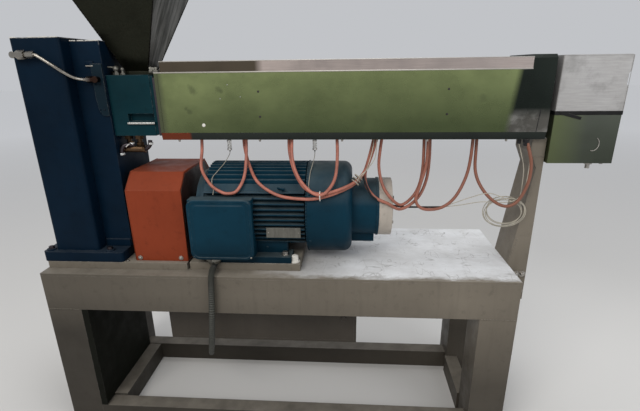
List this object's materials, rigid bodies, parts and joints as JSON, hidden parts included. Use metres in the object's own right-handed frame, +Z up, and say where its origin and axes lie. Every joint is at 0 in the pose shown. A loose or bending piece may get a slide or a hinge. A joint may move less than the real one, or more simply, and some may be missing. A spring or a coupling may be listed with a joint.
{
  "type": "single-screw plastic extruder",
  "caption": "Single-screw plastic extruder on a welded stand: tall gearbox, hopper over a feed block, heated barrel under a sheet cover, finned motor behind a coupling guard, boxed die end.",
  "frame": {"origin": "on the floor, under the middle of the machine's length and of its stand's depth", "axes": "+X along the barrel from the gearbox to the die, +Y from the operator's side to the rear, +Z up"},
  "size_m": [2.17, 0.5624, 1.912],
  "materials": {
    "frame_paint": "warm grey paint, dusty and scuffed",
    "dark_panel": "dark matt sheet",
    "box_paint": "brown grey paint",
    "rail_paint": "pale grey paint, worn",
    "navy_paint": "navy semi-gloss paint, chipped edges",
    "pipe_steel": "dull steel pipe",
    "motor_paint": "blue machine paint, dusty",
    "ring_metal": "dull cast metal",
    "guard_paint": "orange-red paint, faded",
    "teal_paint": "dark teal paint",
    "dark_stainless": "dark brushed stainless",
    "fitting_brass": "tarnished brass",
    "barrel_steel": "oxidised steel",
    "band_mica": "heater band sheet",
    "cover_polished": "polished sheet with an olive cast",
    "lid_brushed": "brushed sheet",
    "end_polished": "dark polished sheet",
    "die_aluminium": "scratched matt sheet",
    "die_polished": "polished sheet",
    "strap_rubber": "black strap",
    "sensor_chrome": "bright",
    "cable_sleeve": "salmon silicone sleeve",
    "wire_white": "off-white wire",
    "conduit_grey": "grey corrugated conduit"
  },
  "bodies": {
    "root": {"leg_front_left": "frame_paint", "leg_front_right": "frame_paint", "leg_rear_left": "frame_paint", "leg_rear_right": "frame_paint", "beam_front": "frame_paint", "beam_rear": "frame_paint", "beam_left": "frame_paint", "beam_right": "frame_paint", "table_top": "frame_paint", "rail_front": "frame_paint", "rail_rear": "frame_paint", "rail_left": "frame_paint", "rail_right": "frame_paint", "left_end_panel": "dark_panel", "control_box": "box_paint", "gearbox_plinth": "rail_paint", "gearbox_case": "navy_paint", "gearbox_output_side": "navy_paint", "oil_pipe": "pipe_steel", "motor_base": "rail_paint", "motor_stator": "motor_paint", "motor_end_shield": "motor_paint", "fan_cowl": "motor_paint", "blower_body": "motor_paint", "blower_ring": "ring_metal", "terminal_box": "motor_paint", "terminal_lid": "motor_paint", "coupling_guard": "guard_paint", "feed_block": "teal_paint", "hopper": "dark_stainless", "water_fittings": "fitting_brass", "barrel": "barrel_steel", "heater_bands": "band_mica", "cover_front": "cover_polished", "cover_rear": "cover_polished", "cover_lid": "lid_brushed", "cover_end": "end_polished", "front_post": "frame_paint", "die_box_upper": "die_aluminium", "die_box_lower": "die_polished", "die_strap": "strap_rubber", "thermocouples": "sensor_chrome", "cable_a": "cable_sleeve", "cable_b": "cable_sleeve", "cable_c": "cable_sleeve", "cable_d": "cable_sleeve", "cable_e": "cable_sleeve", "cable_f": "cable_sleeve", "cable_g": "cable_sleeve", "cable_h": "cable_sleeve", "sensor_coil": "wire_white", "conduit": "conduit_grey"}
  },
  "joints": []
}
